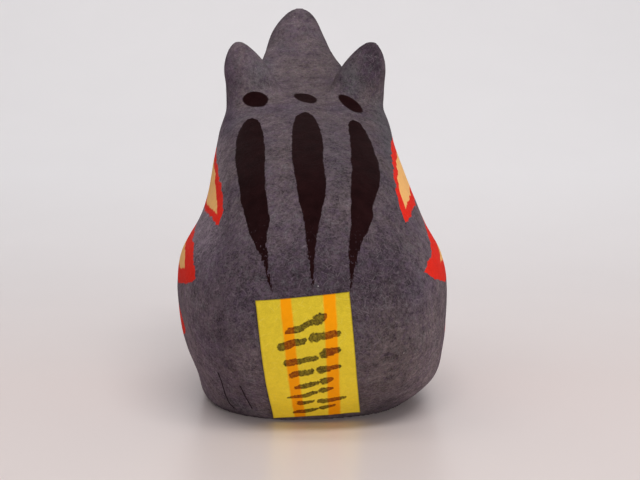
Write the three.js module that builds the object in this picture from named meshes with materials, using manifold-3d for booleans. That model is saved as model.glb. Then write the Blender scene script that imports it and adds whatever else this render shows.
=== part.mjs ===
// A papier-mache folk-toy boar, sitting low with its snout lifted, and the
// narrow paper slip that is pasted down the back of its rump.
// The boar faces -Y, its rump is towards +Y, its left side is +X and +Z is up.

import * as THREE from 'three';
import { mergeVertices } from 'three/addons/utils/BufferGeometryUtils.js';
import Module from 'manifold-3d';

// Driving dimensions, in millimetres and radians
const HEIGHT = 72;            // scale of the body's heights
const WIDTH = 48.4;           // scale of the body's widths
const LENGTH = 90;            // rump to the end of the snout
const EAR_RISE = 15.8;        // from an ear's root in the head to its tip
const EAR_WIDTH = 11.2;       // across one ear at its root
const EAR_THICKNESS = 9.6;    // front to back at its root
const NOSE_WIDTH = 11.8;      // flat disc at the end of the snout
const NOSE_HEIGHT = 12.6;
const NOSE_RISE = 1.1;        // how far the disc stands out of the snout
const SLIP_WIDTH = 14.27;
const SLIP_LENGTH = 26.3;     // measured over the curve of the rump
const SLIP_THICKNESS = 0.35;
const SLIP_GAP = 0.3;         // between the slip and the body
const SLIP_FLOOR_GAP = 0.92;  // below the slip's lowest corner
const SLIP_SIDE_SHIFT = 0.15; // the slip's middle, towards +X of the body's
const SLIP_TILT = 0.0986;

// Facets: round the body and up it, and the same on the smaller pieces
const BODY_SIDES = 56;
const BODY_RINGS = 50;
const EAR_SIDES = 20;
const EAR_RINGS = 14;
const NOSE_SIDES = 28;
const NOSE_RINGS = 4;
const SLIP_COLUMNS = 12;
const SLIP_ROWS = 22;

// The body's form. Every profile is a list of [height, value] points, joined
// by a smooth curve. Heights are shares of HEIGHT, depths are shares of LENGTH
// counted forwards from the rump, and widths are shares of WIDTH.
const REAR_LINE = [
  [0, 0.13], [0.035, 0.108], [0.07, 0.081], [0.12, 0.046], [0.17, 0.02], [0.22, 0.006],
  [0.29, 0.005], [0.375, 0.026], [0.44, 0.058], [0.5, 0.1], [0.55, 0.147], [0.6, 0.226],
  [0.65, 0.333], [0.7, 0.455], [0.74, 0.556], [0.78, 0.634], [0.82, 0.703],
  [0.86, 0.76], [0.9, 0.806], [1, 0.868],
];
const FRONT_LINE = [
  [0, 0.85], [0.1, 0.852], [0.3, 0.838], [0.5, 0.832], [0.6, 0.85], [0.68, 0.896],
  [0.75, 0.948], [0.8, 0.966], [0.84, 0.958], [0.9, 0.92], [1, 0.915],
];
const WIDEST_LINE = [
  [0, 0.39], [0.2, 0.376], [0.35, 0.39], [0.5, 0.48], [0.62, 0.575], [0.74, 0.62],
  [0.82, 0.7], [0.9, 0.856], [1, 0.89],
];
const HALF_WIDTH = [
  [0, 0.43], [0.06, 0.437], [0.12, 0.444], [0.2, 0.464], [0.3, 0.472], [0.37, 0.46],
  [0.44, 0.412], [0.5, 0.385], [0.6, 0.354], [0.68, 0.329], [0.74, 0.285],
  [0.78, 0.235], [0.82, 0.184], [0.86, 0.151], [0.9, 0.131], [0.95, 0.113], [1, 0.102],
];
// The body is pressed by hand, so its middle wanders a little to the sides
const MIDDLE_LINE = [
  [0, 0], [0.07, -0.035], [0.14, -0.03], [0.25, -0.022], [0.38, -0.015], [0.47, -0.018],
  [0.6, -0.006], [0.7, -0.008], [0.76, -0.003], [0.85, 0.011], [0.9, 0.014], [0.94, 0.016],
  [1, 0.006],
];
// Plan sections are superellipses: power 2 is an ellipse, more is boxier
const REAR_POWER = [[0, 2.3], [0.12, 2.6], [0.3, 2.7], [0.45, 2.5], [0.6, 2.35], [1, 2.1]];
const FRONT_POWER = [[0, 2.3], [0.5, 2.2], [0.75, 2.3], [0.9, 3], [1, 2.6]];

// The lower edge rolls in to the flat underside along a quarter ellipse
const ROLL_HEIGHT = 0.155;
const ROLL_REAR = 0.03;
const ROLL_FRONT = 0.07;
const ROLL_SIDE = 0.085;
// The snout closes over along a quarter ellipse between these heights
const DOME_START = 0.9;
const DOME_TOP = 1.008;

// Low swellings of the moulded form, the same on both sides. Middle and reach
// are [half width, depth, height] shares, rise is a share of WIDTH.
const HAUNCH = { middle: [0.46, 0.36, 0.2], reach: [0.3, 0.17, 0.2], rise: 0.026 };
const FLANK = { middle: [0.46, 0.58, 0.1], reach: [0.3, 0.07, 0.22], rise: -0.03 };
const FORELEG = { middle: [0.3, 0.79, 0.12], reach: [0.16, 0.11, 0.22], rise: 0.04 };
const CHEST = { middle: [0, 0.84, 0.06], reach: [0.1, 0.12, 0.16], rise: -0.05 };
const CHEEK = { middle: [0.3, 0.76, 0.62], reach: [0.2, 0.12, 0.12], rise: 0.025 };
const SWELLINGS = [HAUNCH, FLANK, FORELEG, CHEST, CHEEK];
// Dents where the soft paste was pressed on the boar's right side, in the same
// shares, but with the side counted from the middle towards +X
const REAR_DENT = { middle: [-0.14, 0.12, 0.02], reach: [0.17, 0.1, 0.09], rise: -0.018 };
const HAUNCH_DENT = { middle: [-0.47, 0.36, 0.21], reach: [0.14, 0.2, 0.07], rise: -0.012 };
const DENTS = [REAR_DENT, HAUNCH_DENT];

// The ears stand at the upper corners of the head. Along an ear, 0 is its root
// and 1 its tip. Its place is in shares of the body's sizes, its half width and
// half thickness in shares of its own.
const EAR_ROOT_HEIGHT = 0.672;
const EAR_OUT = [[0, 0.189], [0.45, 0.205], [0.75, 0.234], [1, 0.258]];
const EAR_DEPTH = [[0, 0.63], [0.5, 0.604], [1, 0.595]];
const EAR_SPREAD = [[0, 0.975], [0.3, 1], [0.6, 0.857], [0.8, 0.65], [1, 0.48]];
const EAR_FLATNESS = [[0, 1.08], [0.4, 0.81], [0.8, 0.51], [1, 0.43]];
const EAR_CAP_START = 0.72;
const RIGHT_EAR_OUTWARD = 0.012;

// The nose disc closes the snout and faces forwards and up
const NOSE_MIDDLE_HEIGHT = 0.916;
const NOSE_MIDDLE_DEPTH = 0.936;
const NOSE_LEAN = 0.62;
const NOSE_ROOT = 3;          // how deep the disc is rooted in the snout
const NOSE_TAPER = 0.12;

// Value at x of the smooth curve through a profile's points
function along(profile, x) {
  const last = profile.length - 1;
  const slope = (i) => {
    const before = profile[Math.max(i - 1, 0)];
    const after = profile[Math.min(i + 1, last)];
    return (after[1] - before[1]) / (after[0] - before[0]);
  };
  let i = 0;
  while (i < last - 1 && x > profile[i + 1][0]) i += 1;
  const [x0, y0] = profile[i];
  const [x1, y1] = profile[i + 1];
  const step = x1 - x0;
  const t = THREE.MathUtils.clamp((x - x0) / step, 0, 1);
  const t2 = t * t;
  const t3 = t2 * t;
  return (2 * t3 - 3 * t2 + 1) * y0 + (t3 - 2 * t2 + t) * step * slope(i)
    + (3 * t2 - 2 * t3) * y1 + (t3 - t2) * step * slope(i + 1);
}

// A quarter ellipse: 1 up to the start, then curving down to 0 at t = 1
function quarterRound(t, start) {
  const u = THREE.MathUtils.clamp((t - start) / (1 - start), 0, 1);
  return Math.sqrt(1 - u * u);
}

// The body's plan section at a height share, in millimetres
function bodySection(height) {
  const roll = 1 - quarterRound(1 - height, 1 - ROLL_HEIGHT);
  const close = quarterRound(height / DOME_TOP, DOME_START / DOME_TOP);
  const widest = along(WIDEST_LINE, height);
  const rear = along(REAR_LINE, height) + ROLL_REAR * roll;
  const front = along(FRONT_LINE, height) - ROLL_FRONT * roll;
  return {
    middle: along(MIDDLE_LINE, height) * WIDTH,
    half: (along(HALF_WIDTH, height) - ROLL_SIDE * roll) * close * WIDTH,
    widest: widest * LENGTH,
    rearReach: (widest - rear) * close * LENGTH,
    frontReach: (front - widest) * close * LENGTH,
    rearPower: along(REAR_POWER, height),
    frontPower: along(FRONT_POWER, height),
    close,
  };
}

// How far one swelling or dent pushes the surface out, in millimetres
function bump({ middle, reach, rise }, side, depth, height) {
  const a = (side / WIDTH - middle[0]) / reach[0];
  const b = (depth / LENGTH - middle[1]) / reach[1];
  const c = (height - middle[2]) / reach[2];
  return rise * WIDTH * Math.exp(-a * a - b * b - c * c);
}

function swelling(side, depth, height) {
  let push = 0;
  for (const each of SWELLINGS) push += bump(each, Math.abs(side), depth, height);
  for (const each of DENTS) push += bump(each, side, depth, height);
  return push;
}

// A point of the body's surface: the angle is 0 at the rear and grows to +X
function bodyPoint(angle, height) {
  const section = bodySection(height);
  const c = Math.cos(angle);
  const s = Math.sin(angle);
  const power = c >= 0 ? section.rearPower : section.frontPower;
  const reach = c >= 0 ? section.rearReach : section.frontReach;
  const radius = (Math.abs(c) ** power + Math.abs(s) ** power) ** (-1 / power);
  const side = section.half * s * radius;
  const depth = section.widest - reach * c * radius;
  const push = swelling(side, depth, height) * section.close;
  return new THREE.Vector3(
    section.middle + side + push * s,
    push * c - depth,
    height * HEIGHT,
  );
}

// The body's outward direction, from two short steps along its surface
function bodyNormal(angle, height) {
  const step = 1e-3;
  const round = bodyPoint(angle + step, height).sub(bodyPoint(angle - step, height));
  const up = bodyPoint(angle, height + step).sub(bodyPoint(angle, height - step));
  return up.cross(round).normalize();
}

function geometryOf(points, faces) {
  const geometry = new THREE.BufferGeometry();
  const numbers = points.flatMap((point) => point.toArray());
  geometry.setAttribute('position', new THREE.Float32BufferAttribute(numbers, 3));
  geometry.setIndex(faces);
  return geometry;
}

function middleOf(points) {
  const sum = points.reduce((total, point) => total.add(point), new THREE.Vector3());
  return sum.divideScalar(points.length);
}

// A closed skin over rings of points that all run from the rear towards +X,
// the first ring lowest, with both ends filled in from their middles
function closedSkin(rings) {
  const sides = rings[0].length;
  const points = rings.flat();
  const faces = [];
  for (let i = 0; i < rings.length - 1; i += 1) {
    for (let j = 0; j < sides; j += 1) {
      const a = i * sides + j;
      const b = i * sides + (j + 1) % sides;
      faces.push(a, b + sides, b, a, a + sides, b + sides);
    }
  }
  const first = points.push(middleOf(rings[0])) - 1;
  const last = points.push(middleOf(rings[rings.length - 1])) - 1;
  const top = (rings.length - 1) * sides;
  for (let j = 0; j < sides; j += 1) {
    const k = (j + 1) % sides;
    faces.push(first, j, k, last, top + k, top + j);
  }
  return geometryOf(points, faces);
}

// The rings of angles that every closed skin shares
function ringOf(sides, pointAt) {
  return Array.from({ length: sides }, (_, j) => pointAt(2 * Math.PI * j / sides));
}

// The body: plan sections, stacked closer together near both ends
function bodyGeometry() {
  const rings = [];
  for (let i = 0; i <= BODY_RINGS; i += 1) {
    const height = 0.9995 * DOME_TOP * (1 - Math.cos(Math.PI * i / BODY_RINGS)) / 2;
    rings.push(ringOf(BODY_SIDES, (angle) => bodyPoint(angle, height)));
  }
  return closedSkin(rings);
}

// One ear: level ellipses that shrink and flatten towards the rounded tip
function earGeometry(side, outward) {
  const rings = [];
  for (let i = 0; i <= EAR_RINGS; i += 1) {
    const t = 0.995 * Math.sin(Math.PI / 2 * i / EAR_RINGS);
    const close = quarterRound(t, EAR_CAP_START);
    const half = along(EAR_SPREAD, t) * close * EAR_WIDTH / 2;
    const thick = along(EAR_FLATNESS, t) * close * EAR_THICKNESS / 2;
    const out = side * (along(EAR_OUT, t) + outward) * WIDTH;
    const depth = along(EAR_DEPTH, t) * LENGTH;
    rings.push(ringOf(EAR_SIDES, (angle) => new THREE.Vector3(
      out + half * Math.sin(angle),
      thick * Math.cos(angle) - depth,
      EAR_ROOT_HEIGHT * HEIGHT + EAR_RISE * t,
    )));
  }
  return closedSkin(rings);
}

// The nose disc: an oval button with a slightly tapered, rounded edge
function noseGeometry() {
  const depth = NOSE_ROOT + NOSE_RISE;
  const rings = [];
  for (let i = 0; i <= NOSE_RINGS; i += 1) {
    const t = i / NOSE_RINGS;
    const size = 1 - NOSE_TAPER * t * t * t;
    rings.push(ringOf(NOSE_SIDES, (angle) => new THREE.Vector3(
      NOSE_WIDTH / 2 * size * Math.sin(angle),
      NOSE_HEIGHT / 2 * size * Math.cos(angle),
      depth * t - NOSE_ROOT,
    )));
  }
  return closedSkin(rings)
    .rotateX(Math.PI / 2 - NOSE_LEAN)
    .translate(
      along(MIDDLE_LINE, NOSE_MIDDLE_HEIGHT) * WIDTH,
      -NOSE_MIDDLE_DEPTH * LENGTH,
      NOSE_MIDDLE_HEIGHT * HEIGHT,
    );
}

// The lengths over the rear profile's curve, as [length, height share] points
function rearLengths() {
  const steps = 300;
  const highest = 0.8;
  const table = [[0, 0]];
  let before = bodyPoint(0, 0);
  for (let i = 1; i <= steps; i += 1) {
    const height = highest * i / steps;
    const point = bodyPoint(0, height);
    const step = Math.hypot(point.y - before.y, point.z - before.z);
    table.push([table[i - 1][0] + step, height]);
    before = point;
  }
  return table;
}

// The angle at which the body's rear reaches a place to the side
function angleAtSide(side, height) {
  let low = -Math.PI / 2;
  let high = Math.PI / 2;
  for (let i = 0; i < 40; i += 1) {
    const angle = (low + high) / 2;
    if (bodyPoint(angle, height).x < side) low = angle;
    else high = angle;
  }
  return (low + high) / 2;
}

// The slip: a tilted oblong laid over the curve of the rump, with its lowest
// corner just above the floor
function slipGeometry() {
  const lengths = rearLengths();
  const lengthAtHeight = (height) => along(lengths.map(([a, b]) => [b, a]), height);
  const halfWidth = SLIP_WIDTH / 2;
  const start = lengthAtHeight(SLIP_FLOOR_GAP / HEIGHT) + halfWidth * Math.sin(SLIP_TILT);
  const skins = [SLIP_GAP, SLIP_GAP + SLIP_THICKNESS].map((offset) => {
    const points = [];
    for (let i = 0; i <= SLIP_ROWS; i += 1) {
      for (let j = 0; j <= SLIP_COLUMNS; j += 1) {
        const up = SLIP_LENGTH * i / SLIP_ROWS;
        const across = SLIP_WIDTH * j / SLIP_COLUMNS - halfWidth;
        const length = start + up * Math.cos(SLIP_TILT) - across * Math.sin(SLIP_TILT);
        const side = SLIP_SIDE_SHIFT - SLIP_LENGTH / 2 * Math.sin(SLIP_TILT)
          + across * Math.cos(SLIP_TILT) + up * Math.sin(SLIP_TILT);
        const height = along(lengths, length);
        const angle = angleAtSide(side, height);
        points.push(bodyPoint(angle, height).addScaledVector(bodyNormal(angle, height), offset));
      }
    }
    return points;
  });
  return sheetBetween(skins[0], skins[1], SLIP_ROWS, SLIP_COLUMNS);
}

// A closed sheet between an inner and an outer grid of points
function sheetBetween(inner, outer, rows, columns) {
  const faces = [];
  const count = inner.length;
  const at = (i, j) => i * (columns + 1) + j;
  const quad = (a, b, c, d) => faces.push(a, b, c, a, c, d);
  for (let i = 0; i < rows; i += 1) {
    for (let j = 0; j < columns; j += 1) {
      const corners = [at(i, j), at(i + 1, j), at(i + 1, j + 1), at(i, j + 1)];
      quad(...corners.map((k) => k + count));
      quad(...corners.reverse());
    }
  }
  const edge = (a, b) => quad(b, b + count, a + count, a);
  for (let i = 0; i < rows; i += 1) {
    edge(at(i, 0), at(i + 1, 0));
    edge(at(i + 1, columns), at(i, columns));
  }
  for (let j = 0; j < columns; j += 1) {
    edge(at(0, j + 1), at(0, j));
    edge(at(rows, j), at(rows, j + 1));
  }
  return geometryOf([...inner, ...outer], faces);
}

const wasm = await Module();
wasm.setup();

function solidOf(geometry) {
  geometry.deleteAttribute('normal');
  geometry.deleteAttribute('uv');
  const merged = mergeVertices(geometry, 1e-5);
  return new wasm.Manifold(new wasm.Mesh({
    numProp: 3,
    vertProperties: merged.attributes.position.array,
    triVerts: new Uint32Array(merged.index.array),
  }));
}

function geometryOfSolid(solid) {
  const mesh = solid.getMesh();
  const geometry = new THREE.BufferGeometry();
  geometry.setAttribute('position', new THREE.BufferAttribute(mesh.vertProperties, 3));
  geometry.setIndex(new THREE.BufferAttribute(mesh.triVerts, 1));
  geometry.computeVertexNormals();
  return geometry;
}

// Body, ears and nose are one moulded shell, so they are one piece
const moulded = [
  earGeometry(1, 0),
  earGeometry(-1, RIGHT_EAR_OUTWARD),
  noseGeometry(),
].reduce((whole, geometry) => whole.add(solidOf(geometry)), solidOf(bodyGeometry()));

const figure = new THREE.Mesh(
  geometryOfSolid(moulded),
  new THREE.MeshStandardMaterial({ color: 0x5e5257, roughness: 0.85, metalness: 0 }),
);
figure.name = 'boar_body';

const slip = new THREE.Mesh(
  slipGeometry(),
  new THREE.MeshStandardMaterial({ color: 0xcbb032, roughness: 0.8, metalness: 0 }),
);
slip.name = 'paper_slip';

// Stand the toy with its bounding box centred over the origin
const boar = new THREE.Group();
boar.add(figure, slip);
const box = new THREE.Box3().setFromObject(boar);
const centre = box.getCenter(new THREE.Vector3());
figure.position.set(-centre.x, -centre.y, -box.min.z);
slip.position.copy(figure.position);

export default boar;
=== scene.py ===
import itertools
import math
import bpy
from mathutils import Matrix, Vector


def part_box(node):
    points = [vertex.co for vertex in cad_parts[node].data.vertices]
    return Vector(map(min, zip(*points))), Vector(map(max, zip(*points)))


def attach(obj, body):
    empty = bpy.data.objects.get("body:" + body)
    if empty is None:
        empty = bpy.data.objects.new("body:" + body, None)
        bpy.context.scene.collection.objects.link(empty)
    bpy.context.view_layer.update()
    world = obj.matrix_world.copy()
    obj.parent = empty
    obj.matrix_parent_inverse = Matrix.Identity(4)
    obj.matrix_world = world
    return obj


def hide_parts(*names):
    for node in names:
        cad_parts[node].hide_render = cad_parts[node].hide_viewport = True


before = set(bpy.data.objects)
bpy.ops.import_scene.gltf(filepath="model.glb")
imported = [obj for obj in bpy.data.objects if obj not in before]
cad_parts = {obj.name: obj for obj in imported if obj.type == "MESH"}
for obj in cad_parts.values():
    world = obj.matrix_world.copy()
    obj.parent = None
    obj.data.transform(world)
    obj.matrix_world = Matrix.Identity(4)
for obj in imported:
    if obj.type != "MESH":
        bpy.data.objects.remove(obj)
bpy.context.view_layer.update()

from types import SimpleNamespace

import bpy
import numpy as np
from bpy.props import FloatProperty, FloatVectorProperty, IntProperty, PointerProperty
from mathutils import Vector

bl_info = {
    "name": "Papier-mache boar",
    "version": (1, 0, 0),
    "blender": (4, 5, 0),
    "location": "3D View > Sidebar > Boar",
    "description": "A brush-painted papier-mache boar with a paper slip pasted on its rump",
    "category": "Object",
}

BODY_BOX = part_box("boar_body")
MM = 0.001

# The moulded form. Each profile is a list of (height, value) points joined by
# a smooth curve: heights are shares of the body's height, depths are shares
# of its length counted forwards from the rump, widths are shares of its width.
REAR_LINE = [
    (0, 0.13), (0.035, 0.108), (0.07, 0.081), (0.12, 0.046), (0.17, 0.02), (0.22, 0.006),
    (0.29, 0.005), (0.375, 0.026), (0.44, 0.058), (0.5, 0.1), (0.55, 0.147), (0.6, 0.226),
    (0.65, 0.333), (0.7, 0.455), (0.74, 0.556), (0.78, 0.634), (0.82, 0.703),
    (0.86, 0.76), (0.9, 0.806), (1, 0.868),
]
FRONT_LINE = [
    (0, 0.85), (0.1, 0.852), (0.3, 0.838), (0.5, 0.832), (0.6, 0.85), (0.68, 0.896),
    (0.75, 0.948), (0.8, 0.966), (0.84, 0.958), (0.9, 0.92), (1, 0.915),
]
WIDEST_LINE = [
    (0, 0.39), (0.2, 0.376), (0.35, 0.39), (0.5, 0.48), (0.62, 0.575), (0.74, 0.62),
    (0.82, 0.7), (0.9, 0.856), (1, 0.89),
]
HALF_WIDTH = [
    (0, 0.43), (0.06, 0.437), (0.12, 0.444), (0.2, 0.464), (0.3, 0.472), (0.37, 0.46),
    (0.44, 0.412), (0.5, 0.385), (0.6, 0.354), (0.68, 0.329), (0.74, 0.285),
    (0.78, 0.235), (0.82, 0.184), (0.86, 0.151), (0.9, 0.131), (0.95, 0.113), (1, 0.102),
]
MIDDLE_LINE = [
    (0, 0), (0.07, -0.035), (0.14, -0.03), (0.25, -0.022), (0.38, -0.015), (0.47, -0.018),
    (0.6, -0.006), (0.7, -0.008), (0.76, -0.003), (0.85, 0.011), (0.9, 0.014),
    (0.94, 0.016), (1, 0.006),
]
REAR_POWER = [(0, 2.3), (0.12, 2.6), (0.3, 2.7), (0.45, 2.5), (0.6, 2.35), (1, 2.1)]
FRONT_POWER = [(0, 2.3), (0.5, 2.2), (0.75, 2.3), (0.9, 3), (1, 2.6)]
ROLL_HEIGHT = 0.155
ROLL_REAR = 0.03
ROLL_FRONT = 0.07
ROLL_SIDE = 0.085
DOME_START = 0.9
DOME_TOP = 1.008

# Low swellings, the same on both sides: middle and reach as (side, depth,
# height) shares, the side counted from the middle, and rise as a share of the width
SWELLINGS = [
    ((0.46, 0.36, 0.2), (0.3, 0.17, 0.2), 0.026),    # haunch
    ((0.46, 0.58, 0.1), (0.3, 0.07, 0.22), -0.03),   # flank behind the foreleg
    ((0.3, 0.79, 0.12), (0.16, 0.11, 0.22), 0.04),   # foreleg
    ((0, 0.84, 0.06), (0.1, 0.12, 0.16), -0.05),     # hollow between the forelegs
    ((0.3, 0.76, 0.62), (0.2, 0.12, 0.12), 0.025),   # cheek
]
# Dents on the boar's right, with the side counted from the middle to its left
DENTS = [
    ((-0.14, 0.12, 0.02), (0.17, 0.1, 0.09), -0.018),
    ((-0.47, 0.36, 0.21), (0.14, 0.2, 0.07), -0.012),
]

# Along an ear, 0 is its root and 1 its tip
EAR_ROOT_HEIGHT = 0.672
EAR_OUT = [(0, 0.189), (0.45, 0.205), (0.75, 0.234), (1, 0.258)]
EAR_DEPTH = [(0, 0.63), (0.5, 0.604), (1, 0.595)]
EAR_SPREAD = [(0, 0.975), (0.3, 1), (0.6, 0.857), (0.8, 0.65), (1, 0.48)]
EAR_FLATNESS = [(0, 1.08), (0.4, 0.81), (0.8, 0.51), (1, 0.43)]
EAR_CAP_START = 0.72
RIGHT_EAR_OUTWARD = 0.012
NOSE_MIDDLE_HEIGHT = 0.916
NOSE_MIDDLE_DEPTH = 0.936
NOSE_LEAN = 0.62
NOSE_ROOT = 3
NOSE_TAPER = 0.12

# Grid sizes of the slip, and of the body's parts before they are made one skin
BODY_SIDES = 300
BODY_RINGS = 260
EAR_SIDES = 96
EAR_RINGS = 64
NOSE_SIDES = 128
NOSE_RINGS = 12
SLIP_COLUMNS = 64
SLIP_ROWS = 112

# Brush marks, in millimetres: side is towards the boar's left, depth runs
# forwards from the rump, height is above the floor.
# A stripe is a list of (height, left edge, right edge), from its lower tip up.
STRIPES = {
    "left": [
        (22.9, 6, 6.1), (24.6, 6.6, 6.2), (26.5, 7.2, 6.6), (29.3, 8.2, 6.9), (31.5, 9.5, 6.9),
        (33.8, 10.3, 6.5), (36.1, 11.1, 6.8), (38.5, 11.6, 7.1), (40.9, 12.1, 7.2),
        (43.3, 12.5, 7.3), (45.9, 12.4, 7.5), (47.6, 11.9, 7.8), (48.8, 11.2, 8.4),
        (49.4, 10.6, 9), (49.7, 9.7, 9.9),
    ],
    "middle": [
        (23.6, -0.15, -0.05), (25.4, 0.1, -0.3), (27.4, 0.35, -0.4), (29.4, 0.6, -0.5),
        (31.7, 0.86, -1), (34, 1.1, -1.4), (36.4, 1.7, -2.1), (38.7, 2.1, -2.55),
        (41.1, 2.4, -2.55), (43.5, 2.8, -2.5), (46, 2.6, -2.7), (48.6, 2.4, -2.1),
        (50, 1.7, -1.5), (50.6, 0.6, -0.6), (50.8, -0.15, 0.15),
    ],
    "right": [
        (22.9, -5.95, -5.9), (24.6, -5.75, -6.15), (27, -5.85, -6.7), (29.3, -5.9, -7.5),
        (31.6, -6.05, -8.5), (33.9, -6.4, -9.9), (36.2, -6.5, -10.3), (38.6, -6.6, -11.5),
        (41, -7.1, -12.1), (43.4, -7.2, -11.8), (45.9, -7.5, -11.2), (47.6, -7.55, -10.6),
        (48.6, -7.7, -10), (49.1, -8.1, -9.2), (49.4, -8.8, -8.5),
    ],
}
# A dab is the (side, height) of its middle, its half length, half breadth and
# slope in degrees
DABS = [
    ((9.3, 53.05), 2.5, 1.45, 2),
    ((-0.25, 53.35), 2.3, 0.85, 14),
    ((-8.75, 52.25), 2.5, 1.1, 36),
]
# Flames on the left flank (1) and on the right (-1). A tongue is a list of (depth,
# upper edge, lower edge) from its tip forwards: the red stroke, then its ochre heart.
FLAMES = {
    1: [
        ([(15.2, 31.9, 32.2), (17, 34.4, 32.6), (19.8, 36.2, 33.2), (24.6, 38.4, 33.5),
          (31.2, 40.6, 33.9), (37, 42.1, 34.6), (49, 44.5, 36.5), (56, 43.5, 38),
          (60, 40, 40.3)],
         [(18.2, 33.9, 34.1), (21.2, 35.3, 34.3), (26, 37.3, 34.6), (32.2, 39.7, 35.2),
          (45, 42.2, 37.4), (53, 42.4, 38.8), (58, 40.3, 40.5)]),
        ([(11.5, 24, 24.4), (12.8, 25.4, 23.3), (15.8, 27, 22.7), (19.7, 28.7, 22.2),
          (25, 29.8, 21.9), (36, 31.4, 22.6), (48, 33.5, 25), (55, 33, 28), (58, 30.5, 30.8)],
         [(17.6, 24.5, 24.8), (20.6, 26.5, 24.7), (27.3, 27.7, 24.6), (38, 29.4, 25),
          (48, 31.4, 27), (54, 31, 29.4), (56, 30, 30.3)]),
        ([(19.1, 14.2, 14.5), (20.1, 15.8, 13.6), (22.9, 17.4, 13), (26.3, 17.9, 12.4),
          (36, 18.8, 12), (47, 21.6, 14.8), (53, 20.5, 17.4), (56, 18.8, 19.1)],
         [(24.4, 14.8, 15.1), (28, 15.8, 14.2), (36, 16.6, 14.2), (46, 19.2, 16.8),
          (51, 19, 18), (53, 18.2, 18.5)]),
    ],
    -1: [
        ([(14.1, 32.6, 32.9), (16.4, 35.2, 33.2), (18.9, 37, 33.8), (22.7, 39.3, 34.4),
          (28.8, 41.6, 35), (37.3, 44.6, 36.2), (49, 46, 38.4), (56, 44.5, 39.5),
          (60, 41, 41.3)],
         [(17.8, 34.6, 34.8), (21.2, 37.5, 35.5), (24.6, 39.2, 36.2), (30.2, 41.3, 37.2),
          (44, 43.9, 39), (53, 43.6, 40), (58, 41.4, 41.6)]),
        ([(8.9, 25.1, 25.4), (11.7, 26.4, 24), (16, 27.8, 22.9), (21.5, 30, 22.3),
          (31.9, 33, 22.6), (42, 34.2, 24.6), (50, 33.6, 28), (56, 30.6, 30.9)],
         [(17.4, 25.4, 25.7), (24.9, 27.4, 25.5), (31, 28.8, 25.5), (42, 31, 27),
          (49, 31.4, 29), (54, 30.2, 30.5)]),
        ([(20.4, 13.9, 14.2), (21.9, 15.6, 13.2), (26, 17.2, 12.3), (36, 18.8, 12),
          (47, 21.4, 14.6), (53, 20.3, 17.2), (56, 18.6, 18.9)],
         [(25, 14.5, 14.8), (29, 15.7, 14), (37, 17, 14.4), (46, 19.2, 16.8),
          (53, 18.2, 18.5)]),
    ],
}
# Two fine wrinkles low on the rump, as (side, depth, height) points
WRINKLES = [
    [(15, 11.1, 8.7), (14.6, 12.5, 7.1), (14.1, 15.2, 4.3), (13.4, 16.6, 2.2),
     (12.7, 16.8, 1.4)],
    [(11.4, 9.4, 6.9), (10.8, 10.9, 5.2), (10.1, 12.5, 3.3), (9.6, 13.6, 2.1)],
]
# Stains in the dark wash and painted light on it, as (side, height), reach, colour name and
# strength. The dark spots on the rump, the mid back and the right ear are painted shade.
STAINS = [
    ((14.6, 58), (2.6, 8), "violet", 0.5),
    ((14.8, 50), (2.2, 4), "violet", 0.6),
    ((-13.2, 59.5), (2.6, 4), "violet", 0.75),
    ((8.5, 58), (3.4, 5), "slate", 0.45),
    ((-9.5, 57), (3, 4), "slate", 0.6),
    ((0, 58), (7, 6), "brown", 0.55),
    ((-15, 51), (3, 4), "slate", 0.6),
    ((4, 43), (2.5, 8), "brown", 0.5),
    ((-4.6, 43), (2.5, 8), "slate", 0.3),
    ((16, 30), (6, 9), "violet", 0.55),
    ((-13, 12), (10, 10), "brown", 0.7),
    # Painted shade on the rump and the mid back
    ((0, 25), (22, 9), "shade", 0.85),
    ((0, 40), (14, 9), "shade", 0.4),
    ((14, 16), (9, 12), "violet", 0.3),
    # Painted shade on the right ear
    ((-13, 61), (3.6, 7), "shade", 0.95),
    ((-15.5, 46), (3, 6), "slate", 0.7),
    # Painted sheen: a paler spot high on the left flank, in the fibre colour
    ((17.5, 38), (4, 13), "fibre", 0.6),
]
# Where the ink stands on the slip, in millimetres from its upper left corner
INK_LEFT = 3.3
INK_RIGHT = 12.2
INK_TOP = 2.6
INK_ROWS = 8
INK_PITCH = 2.8
# An orange band's left and right edge at the slip's top and at its foot, as
# shares of its width
BANDS = [((0.258, 0.373), (0.241, 0.368)), ((0.72, 0.847), (0.632, 0.77))]
# Marks on the face are round-ended bars: two ends as (depth, height), or as
# (side, height) for a nostril, and half the breadth
EYE_WHITE = ((66.5, 55.2), (71.5, 57.2), 2.1)
PUPIL = ((68.8, 56.1), (69.6, 56.5), 1.4)
NOSTRIL = ((2.3, 66.4), (2.5, 67.6), 0.85)
MOUTH = ((74, 50.6), (82, 53.6), 0.45)
MARK_REACH = 60     # the back's marks stop this far forwards
# Kinds of pale fibre in the body's paper: size of a cell that holds one fibre,
# its breadth, its bend and a shift that sets the kinds apart
FIBRES = [(1.5, 0.05, 0.16, 0), (1.1, 0.045, -0.2, 40), (1.8, 0.055, 0.12, 80),
          (0.8, 0.045, 0.2, 160)]
# Painted light and shade on the wash: tone before, change, what it follows, and where
# the change starts and is whole. Paler at the flanks as a painted sheen, paler at the foot
# as painted light from the floor, darker on the rump and paler up the back towards the nape
# as painted shade, and darker to the right as painted shade.
WASH_PAINTED_LIGHT = [
    (1, 0.65, "flank", 14, 20),
    (1, 0.4, "height", 16, 4),
    (0.82, 0.1, "height", 26, 44),
    (1, -0.22, "side", 8, -14),
]

# Finish of the skin. Smoothing draws the points in and lets them out again.
SMOOTH_ROUNDS = 6
SMOOTH_IN = 0.5
SMOOTH_OUT = -0.52
# The ears' backs are eased into the nape, around this (middle, reach) to each side
# and in height, and up to this (depth, stretch before it that fades)
NAPE_ROUNDS = 60
NAPE_IN = 0.6
NAPE_SIDE = (9.5, 6)
NAPE_HEIGHT = (52.5, 4.2)
NAPE_DEPTH = (57.5, 4)
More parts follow.
